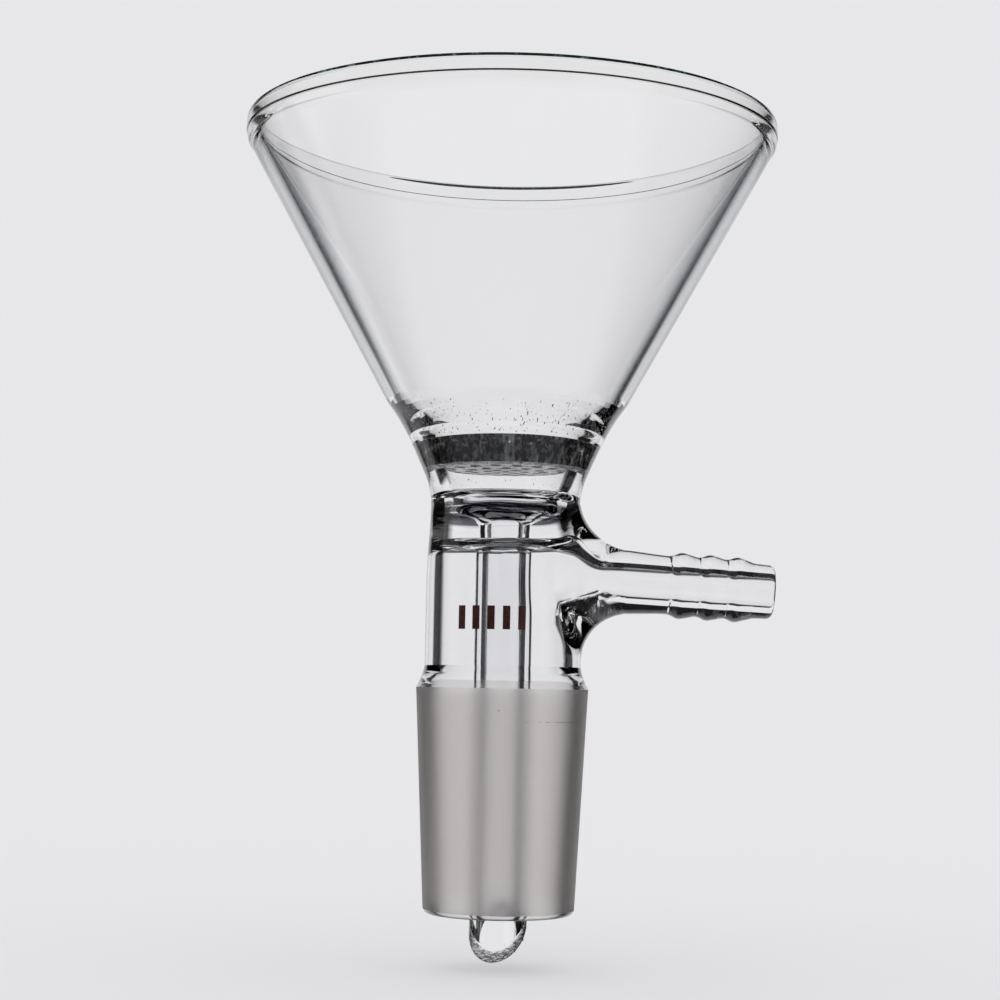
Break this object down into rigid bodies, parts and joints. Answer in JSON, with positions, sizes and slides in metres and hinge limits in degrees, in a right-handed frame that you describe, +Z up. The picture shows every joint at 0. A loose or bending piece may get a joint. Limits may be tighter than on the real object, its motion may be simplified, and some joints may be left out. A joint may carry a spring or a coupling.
{
  "type": "vacuum filter funnel",
  "caption": "Conical glass filter funnel with a sealed-in perforated plate, a drip tube inside a jacket, a serrated vacuum hose connection and a ground male joint.",
  "frame": {"origin": "centre of the large end of the ground joint, on the main axis", "axes": "+Z up the main axis from the joint to the bowl's rim, +X towards the hose connection, -Y towards the size mark"},
  "size_m": [0.0755, 0.0752, 0.1173],
  "materials": {
    "clear_glass": "clear fire-polished borosilicate glass",
    "plate_glass": "clear glass with drilled holes, lightly seeded",
    "ground_glass": "finely ground matt glass, clear at its polished end",
    "fired_enamel": "thin fired brown enamel"
  },
  "bodies": {
    "root": {"bowl": "clear_glass", "filter_head": "clear_glass", "collector": "clear_glass", "drip_tube": "clear_glass", "jacket": "clear_glass", "hose_connection": "clear_glass", "perforated_plate": "plate_glass", "ground_joint": "ground_glass", "size_mark": "fired_enamel"}
  },
  "joints": []
}
